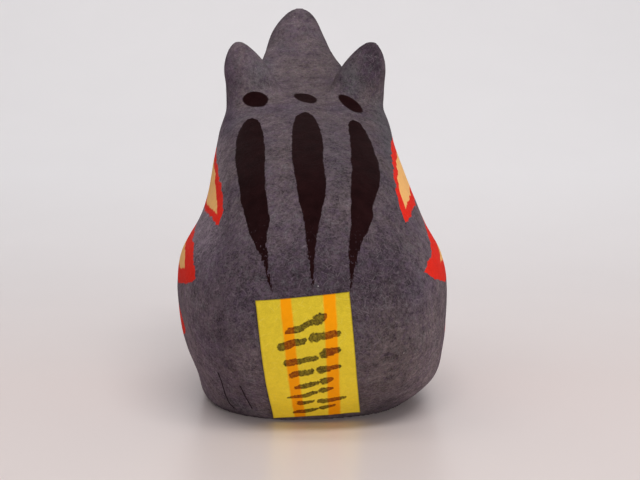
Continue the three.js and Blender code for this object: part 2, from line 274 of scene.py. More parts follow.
# Hand-pressed lumps: step of the noise and its share of the rise
LUMPS = ((11, 0.55), (5.5, 0.3), (2.6, 0.16), (1.3, 0.07))
LUMP_FADE = 4       # lumps are whole from this height up
WRINKLE_REACH = 0.5
UNDERSIDE = 0.6     # points within this share of a grid step of the floor lie on it
BODY_END = 0.9995   # share of the way to the body's very top where its grid ends
EAR_END = 0.995     # the same at an ear's tip

# The slip's bed: how high the rump's rear line is followed and at how many heights,
# halvings in search of a point's angle, step of the noise that curls the paper, and
# how much of the lift goes to the edges and to the corners
REAR_TOP = 0.8
REAR_SAMPLES = 1200
HALVINGS = 40
CURL_STEP = 4.1
EDGE_LIFT = 0.35
CORNER_LIFT = 0.65

# Colours of small things, in display values
SPECK = (196, 190, 188)
# Painted shade along the wrinkles
WRINKLE_SHADE = (38, 28, 34)
EYE_COLOUR = (206, 196, 176)
MOUTH_COLOUR = (150, 34, 28)
SLIP_FIBRE = (240, 222, 120)
SLIP_EDGE = (74, 58, 20)
BAND_INK = (108, 42, 12)

# The stage, in millimetres and degrees. A lamp is its place, breadth and height,
# target and share of the lamp power.
LAMPS = {
    "key_lamp": ((-70, 300, 545), (460, 110), (0, 0, 30), 0.84),
    "front_lamp": ((-230, 520, 70), (460, 130), (0, 0, 20), 0.66),
    "wall_lamp": ((80, 60, 620), (700, 200), (0, -560, 200), 0.5),
}
SKY_TINT = (0.96, 0.96, 1, 1)
CAMERA_PLACE = (5.6, 182, 52)
CAMERA_YAW = 2.13
CAMERA_PITCH = 6.38


def linear(red, green, blue):
    """A colour picked in display values from 0 to 255, as linear values."""
    shares = np.array([red, green, blue]) / 255
    low = shares / 12.92
    high = ((shares + 0.055) / 1.055) ** 2.4
    return tuple(float(value) for value in np.where(shares <= 0.04045, low, high))


def length(name, millimetres, description):
    """A size that a user can change, shown in the scene's length unit."""
    return FloatProperty(name=name, description=description, default=millimetres * MM,
                         min=0, precision=5, subtype="DISTANCE", unit="LENGTH")


def colour(name, red, green, blue, description):
    """A colour that a user can change, given here in display values."""
    return FloatVectorProperty(name=name, description=description, size=3, min=0, max=1,
                               default=linear(red, green, blue), subtype="COLOR")


class BoarSizes(bpy.types.PropertyGroup):
    """The moulded boar's sizes."""

    height: length("Height", 72, "Scale of the body's heights")
    width: length("Width", 48.4, "Scale of the body's widths")
    length: length("Length", 90, "Rump to the end of the snout")
    ear_rise: length("Ear rise", 15.8, "Ear root inside the head to ear tip")
    ear_width: length("Ear width", 11.2, "Across one ear at its root")
    ear_thickness: length("Ear thickness", 9.6, "Front to back of an ear at its root")
    nose_width: length("Nose width", 11.8, "Across the nose disc")
    nose_height: length("Nose height", 12.6, "Up the nose disc")
    nose_rise: length("Nose rise", 1.1, "How far the disc stands out of the snout")
    skin_step: length("Skin step", 0.45, "Grid step of the one-piece skin")
    lump_rise: length("Lump rise", 0.2, "Rise of the hand-pressed lumps")
    wrinkle_depth: length("Wrinkle depth", 0.14, "Depth of the fine wrinkles")


class SlipSizes(bpy.types.PropertyGroup):
    """The pasted paper slip's sizes."""

    width: length("Width", 14.27, "Across the slip")
    length: length("Length", 26.3, "Along the slip, over the curve of the rump")
    thickness: length("Thickness", 0.15, "Thickness of the paper")
    gap: length("Gap", 0.12, "Between the slip and the body")
    lift: length("Lift", 0.28, "How far the slip's corners have come away")
    floor_gap: length("Floor gap", 0.92, "Below the slip's lowest corner")
    side_shift: length("Side shift", 0.15, "Slip's middle towards the boar's left")
    tilt: FloatProperty(name="Tilt", default=0.0986, subtype="ANGLE", unit="ROTATION",
                        description="How far the slip is turned on the rump")


class BoarColours(bpy.types.PropertyGroup):
    """The colours of the painted paper and of the slip."""

    wash: colour("Wash", 98, 86, 89, "Dark wash over the whole boar")
    brown: colour("Brown stain", 101, 88, 87, "Warm stains in the wash")
    violet: colour("Violet stain", 78, 64, 79, "Violet stains in the wash")
    slate: colour("Slate stain", 88, 86, 89, "Cool stains in the wash")
    # Painted shade: the wash made darker where less light falls
    shade: colour("Painted shade", 66, 55, 63, "Painted shade on the rump, the back and the right ear")
    # Also the colour of a painted sheen high on the left flank
    fibre: colour("Fibre", 140, 126, 132, "Pale fibres that show in the paper")
    stripe: colour("Stripe", 32, 14, 15, "Brush stripes and dabs on the back")
    red: colour("Flame red", 214, 42, 30, "Outer stroke of the flames")
    ochre: colour("Flame ochre", 228, 176, 108, "Heart of the flames")
    yellow: colour("Slip yellow", 226, 197, 52, "The slip's paper")
    orange: colour("Slip orange", 243, 153, 8, "Bands printed down the slip")
    ink: colour("Ink", 62, 50, 20, "Brushed ink on the slip")


class StageSettings(bpy.types.PropertyGroup):
    """The floor, the light and the camera."""

    floor: colour("Floor", 220, 208, 204, "Floor near the boar")
    wall: colour("Wall", 238, 235, 235, "Backdrop behind the boar")
    lamp_power: FloatProperty(name="Lamp power", default=2.02, min=0, subtype="POWER",
                              unit="POWER", description="Soft lamp over the boar")
    sky: FloatProperty(name="Sky light", default=0.42, min=0,
                       description="Even light from all around")
    lens: FloatProperty(name="Lens", default=67.92, min=1, subtype="DISTANCE_CAMERA",
                        description="Focal length of the camera")
    seed: IntProperty(name="Seed", default=7, description="Seed of the lumps")


# Surfaces

def along(profile, share):
    """The smooth curve through a profile's points: a cubic on each stretch, whose slope
    at a point is that of the line between the two points beside it."""
    x, y = np.asarray(profile, float).T
    slope = np.empty(len(x))
    slope[1:-1] = (y[2:] - y[:-2]) / (x[2:] - x[:-2])
    slope[0] = (y[1] - y[0]) / (x[1] - x[0])
    slope[-1] = (y[-1] - y[-2]) / (x[-1] - x[-2])
    i = np.clip(np.searchsorted(x, share, side="right") - 1, 0, len(x) - 2)
    step = x[i + 1] - x[i]
    t = np.clip((share - x[i]) / step, 0, 1)
    return ((2 * t ** 3 - 3 * t ** 2 + 1) * y[i] + (t ** 3 - 2 * t ** 2 + t) * step * slope[i]
            + (3 * t ** 2 - 2 * t ** 3) * y[i + 1] + (t ** 3 - t ** 2) * step * slope[i + 1])


def quarter_round(t, start):
    """A quarter ellipse: 1 up to the start, then curving down to 0 at t = 1."""
    u = np.clip((t - start) / (1 - start), 0, 1)
    return np.sqrt(1 - u * u)


def body_surface(sizes, angle, height):
    """The body: at each height share a superellipse in plan, its rear and front reach,
    half width and corner power from the profiles, rolled in to the underside, closed
    over at the top and pushed out by the low swellings. The angle is 0 at the rear."""
    roll = 1 - quarter_round(1 - height, 1 - ROLL_HEIGHT)
    close = quarter_round(height / DOME_TOP, DOME_START / DOME_TOP)
    widest = along(WIDEST_LINE, height)
    rear = along(REAR_LINE, height) + ROLL_REAR * roll
    front = along(FRONT_LINE, height) - ROLL_FRONT * roll
    c, s = np.cos(angle), np.sin(angle)
    power = np.where(c >= 0, along(REAR_POWER, height), along(FRONT_POWER, height))
    reach = np.where(c >= 0, widest - rear, front - widest) * close * sizes.length
    radius = (np.abs(c) ** power + np.abs(s) ** power) ** (-1 / power)
    half = (along(HALF_WIDTH, height) - ROLL_SIDE * roll) * close * sizes.width
    side = half * s * radius
    depth = widest * sizes.length - reach * c * radius
    push = 0
    for across, bumps in ((np.abs(side), SWELLINGS), (side, DENTS)):
        for middle, spread, rise in bumps:
            a = (across / sizes.width - middle[0]) / spread[0]
            b = (depth / sizes.length - middle[1]) / spread[1]
            d = (height - middle[2]) / spread[2]
            push = push + rise * sizes.width * np.exp(-a * a - b * b - d * d)
    push = push * close
    middle = along(MIDDLE_LINE, height) * sizes.width
    return np.stack([middle + side + push * s, push * c - depth, height * sizes.height], -1)


def ear_surface(sizes, angle, t, side):
    """An ear: level ellipses up a leaning middle line, that shrink and flatten towards
    the rounded tip at t = 1. The side is 1 for the left ear and -1 for the right."""
    outward = RIGHT_EAR_OUTWARD if side < 0 else 0
    close = quarter_round(t, EAR_CAP_START)
    half = along(EAR_SPREAD, t) * close * sizes.ear_width / 2
    thick = along(EAR_FLATNESS, t) * close * sizes.ear_thickness / 2
    out = side * (along(EAR_OUT, t) + outward) * sizes.width
    depth = along(EAR_DEPTH, t) * sizes.length
    height = EAR_ROOT_HEIGHT * sizes.height + sizes.ear_rise * t
    return np.stack([out + half * np.sin(angle), thick * np.cos(angle) - depth, height], -1)


def nose_surface(sizes, angle, t):
    """The nose disc: ellipses from the root in the snout at t = 0 to the flat end at
    t = 1, tapered by the cube of t, and turned to face forwards and up."""
    size = 1 - NOSE_TAPER * t ** 3
    across = sizes.nose_width / 2 * size * np.sin(angle)
    up = sizes.nose_height / 2 * size * np.cos(angle)
    out = (NOSE_ROOT + sizes.nose_rise) * t - NOSE_ROOT
    turn = math.pi / 2 - NOSE_LEAN
    y = up * math.cos(turn) - out * math.sin(turn)
    z = up * math.sin(turn) + out * math.cos(turn)
    return np.stack([
        across + along(MIDDLE_LINE, NOSE_MIDDLE_HEIGHT) * sizes.width,
        y - NOSE_MIDDLE_DEPTH * sizes.length,
        z + NOSE_MIDDLE_HEIGHT * sizes.height,
    ], -1)


def grid(rings, sides):
    """Two parameters on a grid: shares from 0 to 1 up the rings, and angles round them."""
    share = np.linspace(0, 1, rings + 1)
    angle = np.arange(sides) * 2 * np.pi / sides
    return np.meshgrid(share, angle, indexing="ij")


def closed_skin(rings):
    """Points, quads and triangles of a closed skin over a grid of points, the first ring
    lowest: quads between rings, and fans from the middle of the first and last ring."""
    count, sides = rings.shape[:2]
    points = np.concatenate([rings.reshape(-1, 3), rings[:1].mean(1), rings[-1:].mean(1)])
    i, j = np.meshgrid(np.arange(count - 1), np.arange(sides), indexing="ij")
    a = (i * sides + j).ravel()
    b = (i * sides + (j + 1) % sides).ravel()
    quads = np.stack([a, a + sides, b + sides, b], -1)
    j = np.arange(sides)
    k = (j + 1) % sides
    top = (count - 1) * sides
    first = np.full(sides, count * sides)
    triangles = np.concatenate([
        np.stack([first, j, k], -1),
        np.stack([first + 1, top + k, top + j], -1),
    ])
    return points, quads, triangles


def lattice_noise(points, step, seed):
    """Smooth noise from -1 to 1: random numbers on a cubic lattice of the given step,
    blended between a cell's eight corners by a smoothstep along each axis."""
    size = 32
    table = np.random.default_rng(seed).uniform(-1, 1, (size, size, size))
    cell = points / step
    base = np.floor(cell).astype(int)
    share = cell - base
    share = share * share * (3 - 2 * share)
    total = 0
    for corner in itertools.product((0, 1), repeat=3):
        weight = np.prod(np.where(corner, share, 1 - share), axis=-1)
        i, j, k = np.moveaxis((base + corner) % size, -1, 0)
        total = total + weight * table[i, j, k]
    return total


def lumps(points, rise, seed):
    """Hand-pressed lumps: noise at four steps, that fades out towards the floor."""
    total = 0
    for step, share in LUMPS:
        total = total + share * lattice_noise(points + 7.3 * step, step, seed + int(step * 10))
    return rise * total * np.clip(points[..., 2] / LUMP_FADE, 0, 1)


def unit(vectors):
    """The same directions with length 1."""
    return vectors / np.maximum(np.linalg.norm(vectors, axis=-1, keepdims=True), 1e-12)


def point_normals(points, quads):
    """Outward direction at each point: the sum over its quads of the cross product of
    the quad's diagonals."""
    corners = points[quads]
    faces = np.cross(corners[:, 2] - corners[:, 0], corners[:, 3] - corners[:, 1])
    sums = [np.bincount(quads.ravel(), np.repeat(faces[:, axis], 4), len(points))
            for axis in range(3)]
    return unit(np.stack(sums, -1))


def faired(points, quads, rounds, shrink, swell, weight=1):
    """Points drawn towards the average of their neighbours and then let out again, so
    that small steps go and the form stays."""
    pairs = np.concatenate([quads[:, [i, (i + 1) % 4]] for i in range(4)])
    ends = np.concatenate([pairs[:, 0], pairs[:, 1]])
    others = np.concatenate([pairs[:, 1], pairs[:, 0]])
    count = np.bincount(ends, minlength=len(points))[:, None]
    for factor in [shrink, swell] * rounds:
        if not factor:
            continue
        sums = [np.bincount(ends, points[others, axis], len(points)) for axis in range(3)]
        points = points + factor * weight * (np.stack(sums, -1) / count - points)
    return points


def distance_to_line(points, corners):
    """Least distance from each point to a line through the corners."""
    nearest = np.full(len(points), np.inf)
    for start, end in zip(corners[:-1], corners[1:]):
        run = end - start
        t = np.clip((points - start) @ run / (run @ run), 0, 1)[:, None]
        nearest = np.minimum(nearest, np.linalg.norm(points - start - t * run, axis=1))
    return nearest


def make_mesh(name, points, *polygons):
    """A smooth-shaded mesh from points and arrays of quads or triangles."""
    mesh = bpy.data.meshes.new(name)
    corners = np.concatenate([each.ravel() for each in polygons]).astype(np.int32)
    sizes = np.concatenate([np.full(len(each), each.shape[1]) for each in polygons])
    starts = np.concatenate([[0], np.cumsum(sizes)[:-1]]).astype(np.int32)
    mesh.vertices.add(len(points))
    mesh.vertices.foreach_set("co", points.astype(np.float32).ravel())
    mesh.loops.add(len(corners))
    mesh.loops.foreach_set("vertex_index", corners)
    mesh.polygons.add(len(sizes))
    mesh.polygons.foreach_set("loop_start", starts)
    mesh.update(calc_edges=True)
    mesh.polygons.foreach_set("use_smooth", np.ones(len(sizes), bool))
    return mesh


def add_object(name, mesh):
    """An object that holds the mesh, at the origin of the scene."""
    made = bpy.data.objects.new(name, mesh)
    bpy.context.scene.collection.objects.link(made)
    return made


def one_skin(skins, step):
    """Closed skins that run into each other, made one skin of quads on a grid of cubes
    of the given step. Returns its points and quads."""
    points, quads, triangles, count = [], [], [], 0
    for skin in skins:
        points.append(skin[0])
        quads.append(skin[1] + count)
        triangles.append(skin[2] + count)
        count += len(skin[0])
    rough = make_mesh("rough_skin", np.concatenate(points), np.concatenate(quads),
                      np.concatenate(triangles))
    holder = add_object("rough_skin", rough)
    remesh = holder.modifiers.new("One skin", "REMESH")
    remesh.mode = "VOXEL"
    remesh.voxel_size = step
    done = holder.evaluated_get(bpy.context.evaluated_depsgraph_get()).to_mesh()
    found = np.empty(len(done.vertices) * 3)
    done.vertices.foreach_get("co", found)
    corners = np.empty(len(done.loops), np.int32)
    done.loops.foreach_get("vertex_index", corners)
    if len(corners) != 4 * len(done.polygons):
        raise RuntimeError("the one-piece skin isn't all quads")
    bpy.data.objects.remove(holder)
    bpy.data.meshes.remove(rough)
    return found.reshape(-1, 3), corners.reshape(-1, 4)


def in_millimetres(group):
    """A property group's lengths in millimetres, and its angle as it is."""
    return SimpleNamespace(**{
        name: getattr(group, name) / (1 if name == "tilt" else MM)
        for name in type(group).__annotations__
    })


def boar_skins(sizes):
    """The closed skins of the body, the two ears and the nose disc."""
    share, angle = grid(BODY_RINGS, BODY_SIDES)
    body = body_surface(sizes, angle, BODY_END * DOME_TOP * (1 - np.cos(np.pi * share)) / 2)
    share, angle = grid(EAR_RINGS, EAR_SIDES)
    ears = [ear_surface(sizes, angle, EAR_END * np.sin(np.pi / 2 * share), side)
            for side in (1, -1)]
    share, angle = grid(NOSE_RINGS, NOSE_SIDES)
    nose = nose_surface(sizes, angle, share)
    return [closed_skin(rings) for rings in (body, *ears, nose)]


def frame_shift(sizes):
    """How far the boar is moved so that it stands where the frame's body stands: the
    middle of the frame's box less the middle of the moulded form's."""
    points = np.concatenate([skin[0] for skin in boar_skins(sizes)])
    middle = (points.min(0) + points.max(0)) / 2
    low, high = (np.array(corner) / MM for corner in BODY_BOX)
    return np.array([(low[0] + high[0]) / 2 - middle[0], (low[1] + high[1]) / 2 - middle[1], 0])


def boar_form(sizes, seed):
    """The boar's points in millimetres and its quads: one skin over body, ears and nose,
    faired, with the ears' backs eased into the nape, then lumps and wrinkles along the
    outward direction, and the underside laid flat on the floor."""
    points, quads = one_skin(boar_skins(sizes), sizes.skin_step)
    flat = points[:, 2] < UNDERSIDE * sizes.skin_step
    points = faired(points, quads, SMOOTH_ROUNDS, SMOOTH_IN, SMOOTH_OUT)
    side, depth, height = points[:, 0], -points[:, 1], points[:, 2]
    nape = (np.exp(-((np.abs(side) - NAPE_SIDE[0]) / NAPE_SIDE[1]) ** 4)
            * np.exp(-((height - NAPE_HEIGHT[0]) / NAPE_HEIGHT[1]) ** 4)
            * np.clip((NAPE_DEPTH[0] - depth) / NAPE_DEPTH[1], 0, 1))
    points = faired(points, quads, NAPE_ROUNDS, NAPE_IN, 0, nape[:, None])
    normals = point_normals(points, quads)
    rise = lumps(points, sizes.lump_rise, seed)
    for line in WRINKLES:
        corners = np.array(line) * (1, -1, 1)
        across = distance_to_line(points, corners) / WRINKLE_REACH
        rise = rise - sizes.wrinkle_depth * np.exp(-across ** 2)
    points = points + rise[:, None] * normals
    points[:, 2] = np.where(flat, 0, np.maximum(points[:, 2], 0))
    return points, quads


def slip_points(sizes, slip, seed):
    """The slip's inner and outer grid of points. Distances up the slip are lengths over
    the curve of the rump's rear profile, and distances across it are sideways. Each
    point stands off the body along its outward direction, a little more at the edges."""
    heights = np.linspace(0, REAR_TOP, REAR_SAMPLES)
    rear = body_surface(sizes, 0 * heights, heights)
    steps = np.hypot(np.diff(rear[:, 1]), np.diff(rear[:, 2]))
    lengths = np.concatenate([[0], np.cumsum(steps)])
    half = slip.width / 2
    cosine, sine = math.cos(slip.tilt), math.sin(slip.tilt)
    start = np.interp(slip.floor_gap / sizes.height, heights, lengths) + half * sine
    v, u = np.meshgrid(np.linspace(0, 1, SLIP_ROWS + 1), np.linspace(0, 1, SLIP_COLUMNS + 1),
                       indexing="ij")
    up, across = slip.length * v, slip.width * u - half
    side = slip.side_shift - slip.length / 2 * sine + across * cosine + up * sine
    height = np.interp(start + up * cosine - across * sine, lengths, heights)
    low, high = np.full(u.shape, -np.pi / 2), np.full(u.shape, np.pi / 2)
    for _ in range(HALVINGS):
        angle = (low + high) / 2
        short = body_surface(sizes, angle, height)[..., 0] < side
        low, high = np.where(short, angle, low), np.where(short, high, angle)
    base = body_surface(sizes, angle, height)
    step = 1e-3
    round_it, up_it = (
        body_surface(sizes, angle + a, height + h) - body_surface(sizes, angle - a, height - h)
        for a, h in ((step, 0), (0, step)))
    normal = unit(np.cross(up_it, round_it))
    edge = np.maximum(np.abs(2 * u - 1) ** 8, np.abs(2 * v - 1) ** 12)
    corner = np.abs(2 * u - 1) ** 5 * np.abs(2 * v - 1) ** 7
    curl = 0.5 + 0.5 * lattice_noise(base, CURL_STEP, seed + 3)
    lift = slip.lift * (EDGE_LIFT * edge * curl + CORNER_LIFT * corner)
    offset = lumps(base, sizes.lump_rise, seed) + slip.gap + lift
    inner = base + offset[..., None] * normal
    outer = inner + slip.thickness * normal
    return inner, outer, u, v


def sheet_between(inner, outer):
    """Points and quads of a closed sheet between two grids of points: both faces, and
    a row of quads round the rim that joins them."""
    rows, columns = inner.shape[:2]
    count = rows * columns
    i, j = np.meshgrid(np.arange(rows - 1), np.arange(columns - 1), indexing="ij")
    a = (i * columns + j).ravel()
    face = np.stack([a, a + columns, a + columns + 1, a + 1], -1)
    rim = np.concatenate([
        np.arange(columns - 1),
        columns * np.arange(1, rows) - 1,
        count - 1 - np.arange(columns - 1),
        columns * np.arange(rows - 1, 0, -1),
    ])
    after = np.roll(rim, -1)
    edge = np.stack([rim, rim + count, after + count, after], -1)
    quads = np.concatenate([face + count, face[:, ::-1], edge])
    return np.concatenate([inner.reshape(-1, 3), outer.reshape(-1, 3)]), quads


# Shader maths

def union(insides):
    """Joins shapes given as distances inside an edge: the largest of them."""
    joined, *others = insides
    for inside in others:
        joined = joined | inside
    return joined


class Wire:
    """One output of a material's node. Arithmetic on it adds Math nodes."""

    def __init__(self, paint, socket):
        self.paint = paint
        self.socket = socket

    def maths(self, operation, *values):
        return self.paint.node("ShaderNodeMath", {"operation": operation},
                               dict(enumerate(values)))

    def output(self, name):
        """Another output of the same node."""
        return Wire(self.paint, self.socket.node.outputs[name])

    def __add__(self, other):
        return self.maths("ADD", self, other)

    def __sub__(self, other):
        return self.maths("SUBTRACT", self, other)

    def __rsub__(self, other):
        return self.maths("SUBTRACT", other, self)

    def __mul__(self, other):
        return self.maths("MULTIPLY", self, other)

    def __truediv__(self, other):
        return self.maths("DIVIDE", self, other)

    def __rtruediv__(self, other):
        return self.maths("DIVIDE", other, self)

    def __pow__(self, other):
        return self.maths("POWER", self, other)

    def __abs__(self):
        return self.maths("ABSOLUTE", self)

    def __and__(self, other):
        """The smaller of two."""
        return self.maths("MINIMUM", self, other)

    def __or__(self, other):
        """The larger of two."""
        return self.maths("MAXIMUM", self, other)

    __radd__ = __add__
    __rmul__ = __mul__
    __rand__ = __and__
    __ror__ = __or__


class Paint:
    """A material made of nodes, and the few kinds of node that the finishes share."""

    def __init__(self, name):
        self.material = bpy.data.materials.new(name)
        self.material.use_nodes = True
        self.tree = self.material.node_tree
        self.tree.nodes.clear()

    def node(self, kind, settings=None, inputs=None, output=0):
        """A node of any kind: its settings first, then its sockets' values or links."""
        made = self.tree.nodes.new(kind)
        for name, value in (settings or {}).items():
            if name == "stops":
                self.set_stops(made.color_ramp, value)
            elif name == "blend":
                made.color_ramp.interpolation = value
            else:
                setattr(made, name, value)
        for key, value in (inputs or {}).items():
            if isinstance(value, Wire):
                self.tree.links.new(value.socket, made.inputs[key])
            else:
                made.inputs[key].default_value = value
        return Wire(self, made.outputs[output]) if made.outputs else None

    @staticmethod
    def set_stops(ramp, stops):
        """Places a ramp's stops, given as (position, colour)."""
        while len(ramp.elements) < len(stops):
            ramp.elements.new(1)
        for element, (position, value) in zip(ramp.elements, stops):
            element.position = position
            element.color = (*value, 1)

    def vector(self, operation, *values, output=0):
        return self.node("ShaderNodeVectorMath", {"operation": operation},
                         dict(enumerate(values)), output)

    def scaled(self, vector, factor):
        return self.node("ShaderNodeVectorMath", {"operation": "SCALE"},
                         {0: vector, "Scale": factor})

    def mix(self, factor, first, second, blend="MIX"):
        """A colour between two: the first where the factor is 0."""
        first, second = (each if isinstance(each, Wire) else (*each, 1)
                         for each in (first, second))
        return self.node("ShaderNodeMix", {"data_type": "RGBA", "blend_type": blend},
                         {0: factor, 6: first, 7: second}, 2)

    def noise(self, place, size, detail=2.0, roughness=0.5, offset=0.0):
        """Noise from about 0 to 1 whose grains are the given size in millimetres."""
        moved = self.vector("ADD", place, (offset, offset * 1.7, offset * 0.6))
        return self.node("ShaderNodeTexNoise", {"noise_dimensions": "3D"},
                         {"Vector": moved, "Scale": 1 / size, "Detail": detail,
                          "Roughness": roughness})

    def between(self, value, low, high):
        """0 below the low value, 1 above the high one, straight in between."""
        return self.node("ShaderNodeMapRange", {"clamp": True},
                         {"Value": value, "From Min": low, "From Max": high})

    def edge(self, inside, soft=0.12):
        """1 where the distance inside an edge is positive, with a soft edge."""
        return self.between(inside, -soft / 2, soft / 2)

    def place(self, shift):
        """Place on the boar in millimetres: a vector, and side, depth and height."""
        coordinates = self.node("ShaderNodeTexCoord").output("Object")
        moved = self.vector("MULTIPLY_ADD", coordinates, (1 / MM,) * 3,
                            tuple(float(-value) for value in shift))
        split = self.node("ShaderNodeSeparateXYZ", None, {0: moved})
        return moved, split, 0 - split.output("Y"), split.output("Z")

    def combine(self, x, y, z):
        return self.node("ShaderNodeCombineXYZ", None, {0: x, 1: y, 2: z})

    def fibres(self, place, size, breadth, bend, offset):
        """Short bent fibres: in each cell of the given size, the points near a bent
        plane through the cell's middle, that is turned at random from cell to cell."""
        moved = self.scaled(self.vector("ADD", place, (offset,) * 3), 1 / size)
        cell = self.node("ShaderNodeTexVoronoi", {"voronoi_dimensions": "3D", "feature": "F1"},
                         {"Vector": moved, "Scale": 1.0, "Randomness": 1.0})
        arm = self.vector("SUBTRACT", moved, cell.output("Position"))
        turn = self.vector("NORMALIZE",
                           self.vector("SUBTRACT", cell.output("Color"), (0.5,) * 3))
        off = self.vector("DOT_PRODUCT", arm, turn, output="Value")
        away = cell.output("Distance")
        near = abs(off + bend * away * away) * size
        beside = 1 - self.between(near, breadth * 0.3, breadth)
        return beside * (1 - self.between(away, 0.3, 0.62))

    def stroke(self, across, along_it, table, span=120.0):
        """How far a point is inside a brush stroke whose two edges are read off a ramp
        along it. The table holds (place along, upper edge, lower edge)."""
        start, end = table[0][0], table[-1][0]
        stops = [((at - start) / (end - start), (high / span + 0.5, low / span + 0.5, 0))
                 for at, high, low in table]
        share = (along_it - start) / (end - start)
        ramp = self.node("ShaderNodeValToRGB", {"stops": stops, "blend": "CARDINAL"},
                         {"Fac": share})
        edges = self.node("ShaderNodeSeparateColor", None, {0: ramp})
        high = (edges - 0.5) * span
        low = (edges.output("Green") - 0.5) * span
        return (high - across) & (across - low)

    def capsule(self, u, v, start, end, breadth):
        """How far a point is inside a round-ended bar from start to end."""
        run = (end[0] - start[0], end[1] - start[1])
        square = run[0] ** 2 + run[1] ** 2
        t = ((u - start[0]) * (run[0] / square) + (v - start[1]) * (run[1] / square)) | 0.0
        t = t & 1.0
        du = u - start[0] - t * run[0]
        dv = v - start[1] - t * run[1]
        return breadth - (du * du + dv * dv) ** 0.5

    def oval(self, u, v, middle, half, breadth, slope):
        """How far a point is inside a sloping oval."""
        cosine, sine = math.cos(math.radians(slope)), math.sin(math.radians(slope))
        du, dv = u - middle[0], v - middle[1]
        a = (du * cosine + dv * sine) / half
        b = (dv * cosine - du * sine) / breadth
        return (1 - (a * a + b * b) ** 0.5) * breadth

    def spot(self, u, v, middle, reach):
        """A soft oval spot: 1 up to a quarter of its reach, and 0 from a little past it."""
        a, b = (u - middle[0]) / reach[0], (v - middle[1]) / reach[1]
        return 1 - self.between((a * a + b * b) ** 0.5, 0.25, 1.1)

    def finish(self, colour, roughness, height, depth, specular):
        """The surface: colour, roughness and relief, given in millimetres of height."""
        bump = self.node("ShaderNodeBump", None,
                         {"Height": height, "Distance": depth * MM, "Strength": 1.0})
        surface = self.node("ShaderNodeBsdfPrincipled", None, {
            "Base Color": colour, "Roughness": roughness, "Normal": bump,
            "Specular IOR Level": specular,
        })
        self.node("ShaderNodeOutputMaterial", None, {"Surface": surface})
        return self.material


